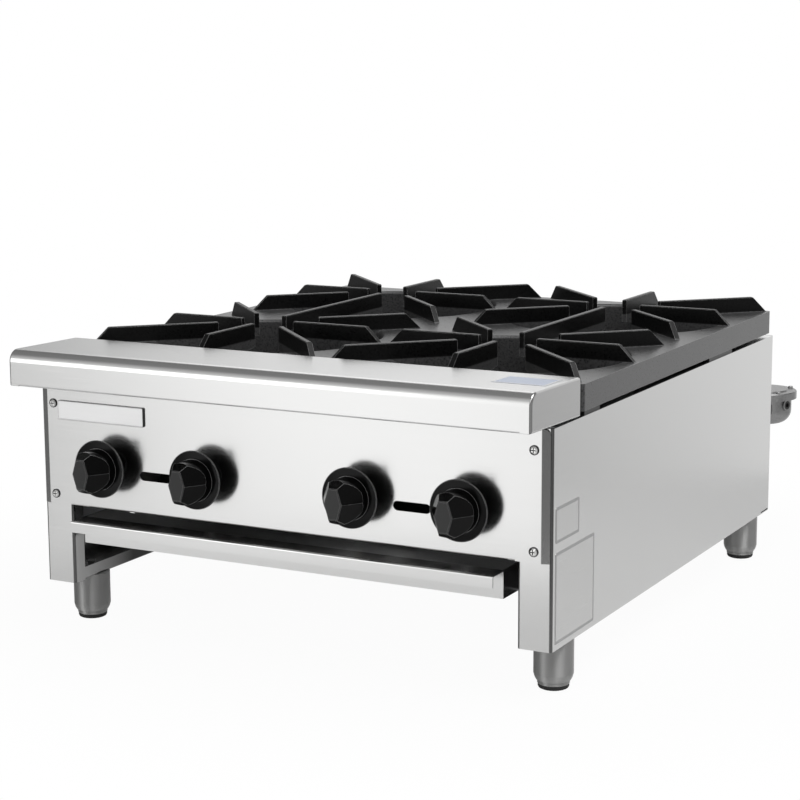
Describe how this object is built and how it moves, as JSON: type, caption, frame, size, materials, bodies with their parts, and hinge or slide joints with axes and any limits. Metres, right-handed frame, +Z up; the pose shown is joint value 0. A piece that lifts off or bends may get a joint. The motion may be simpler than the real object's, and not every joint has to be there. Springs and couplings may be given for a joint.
{
  "type": "gas hot plate",
  "caption": "Countertop gas hot plate with open burners in a cast top, rounded front cap, turning knobs, sliding drip tray and screw-out feet.",
  "frame": {"origin": "on the floor, under the middle of the bounding box, regulator included", "axes": "+X to the cook's right, +Y to the back, +Z up"},
  "size_m": [0.612, 0.888, 0.3253],
  "materials": {
    "stainless": "brushed stainless sheet, horizontal grain",
    "aluminised_steel": "dull plated sheet",
    "black_pipe": "black mill-finish steel pipe",
    "brass": "machined brass",
    "black_knob": "glossy black moulding",
    "cast_iron": "black enamelled casting with a fine sand texture",
    "tube_aluminium": "soft drawn tube",
    "bright_steel": "turned bright steel",
    "rubber": "matt black rubber",
    "cast_aluminium": "as-cast aluminium",
    "black_plastic": "matt black plastic"
  },
  "bodies": {
    "hot_plate": {"left_side_panel": "stainless", "right_side_panel": "stainless", "front_cap": "stainless", "control_panel": "stainless", "rear_panel": "aluminised_steel", "front_rail": "aluminised_steel", "burner_rail_front": "aluminised_steel", "burner_rail_rear": "aluminised_steel", "tray_runner_left": "aluminised_steel", "tray_runner_right": "aluminised_steel", "manifold_brackets": "aluminised_steel", "grate_rests": "aluminised_steel", "manifold_pipe": "black_pipe", "supply_elbow": "black_pipe", "supply_pipe": "black_pipe", "orifice_hoods": "brass", "pilot_valves": "brass", "pilot_burners": "brass", "gas_valve_1": "brass", "gas_valve_2": "brass", "gas_valve_3": "brass", "gas_valve_4": "brass", "burner_1": "cast_iron", "burner_2": "cast_iron", "burner_3": "cast_iron", "burner_4": "cast_iron", "pilot_tubes": "tube_aluminium", "panel_screws": "bright_steel", "leg_bolts": "bright_steel", "regulator_screws": "bright_steel", "leg_shell_front_left": "bright_steel", "leg_shell_front_right": "bright_steel", "leg_shell_rear_left": "bright_steel", "leg_shell_rear_right": "bright_steel", "regulator_body": "cast_aluminium", "regulator_cover": "cast_aluminium", "regulator_plug": "black_plastic"},
    "control_1": {"knob_1": "black_knob", "valve_stem_1": "brass"},
    "control_2": {"knob_2": "black_knob", "valve_stem_2": "brass"},
    "control_3": {"knob_3": "black_knob", "valve_stem_3": "brass"},
    "control_4": {"knob_4": "black_knob", "valve_stem_4": "brass"},
    "tray": {"drip_tray": "stainless"},
    "top": {"top_grate": "cast_iron"},
    "head_1": {"burner_head_1": "cast_iron"},
    "head_2": {"burner_head_2": "cast_iron"},
    "head_3": {"burner_head_3": "cast_iron"},
    "head_4": {"burner_head_4": "cast_iron"},
    "foot_front_left": {"foot_insert_front_left": "bright_steel", "rubber_pad_front_left": "rubber"},
    "foot_front_right": {"foot_insert_front_right": "bright_steel", "rubber_pad_front_right": "rubber"},
    "foot_rear_left": {"foot_insert_rear_left": "bright_steel", "rubber_pad_rear_left": "rubber"},
    "foot_rear_right": {"foot_insert_rear_right": "bright_steel", "rubber_pad_rear_right": "rubber"}
  },
  "joints": [
    {"name": "knob_1_turn", "type": "hinge", "parent": "hot_plate", "child": "control_1", "pos_m": [-0.2148, -0.387, 0.1908], "axis": [0, -1, 0], "range_deg": [0, 90]},
    {"name": "knob_2_turn", "type": "hinge", "parent": "hot_plate", "child": "control_2", "pos_m": [-0.0928, -0.387, 0.1908], "axis": [0, -1, 0], "range_deg": [0, 90]},
    {"name": "knob_3_turn", "type": "hinge", "parent": "hot_plate", "child": "control_3", "pos_m": [0.0928, -0.387, 0.1908], "axis": [0, -1, 0], "range_deg": [0, 90]},
    {"name": "knob_4_turn", "type": "hinge", "parent": "hot_plate", "child": "control_4", "pos_m": [0.2148, -0.387, 0.1908], "axis": [0, -1, 0], "range_deg": [0, 90]},
    {"name": "drip_tray_slide", "type": "slide", "parent": "hot_plate", "child": "tray", "axis": [0, -1, 0], "range_m": [0, 0.5]},
    {"name": "top_lift", "type": "slide", "parent": "hot_plate", "child": "top", "axis": [0, 0, 1], "range_m": [0, 0.15]},
    {"name": "burner_head_1_lift", "type": "slide", "parent": "hot_plate", "child": "head_1", "axis": [0, 0, 1], "range_m": [0, 0.012]},
    {"name": "burner_head_2_lift", "type": "slide", "parent": "hot_plate", "child": "head_2", "axis": [0, 0, 1], "range_m": [0, 0.012]},
    {"name": "burner_head_3_lift", "type": "slide", "parent": "hot_plate", "child": "head_3", "axis": [0, 0, 1], "range_m": [0, 0.012]},
    {"name": "burner_head_4_lift", "type": "slide", "parent": "hot_plate", "child": "head_4", "axis": [0, 0, 1], "range_m": [0, 0.012]},
    {"name": "foot_front_left_screw", "type": "slide", "parent": "hot_plate", "child": "foot_front_left", "axis": [0, 0, -1], "range_m": [0, 0.025]},
    {"name": "foot_front_right_screw", "type": "slide", "parent": "hot_plate", "child": "foot_front_right", "axis": [0, 0, -1], "range_m": [0, 0.025]},
    {"name": "foot_rear_left_screw", "type": "slide", "parent": "hot_plate", "child": "foot_rear_left", "axis": [0, 0, -1], "range_m": [0, 0.025]},
    {"name": "foot_rear_right_screw", "type": "slide", "parent": "hot_plate", "child": "foot_rear_right", "axis": [0, 0, -1], "range_m": [0, 0.025]}
  ]
}
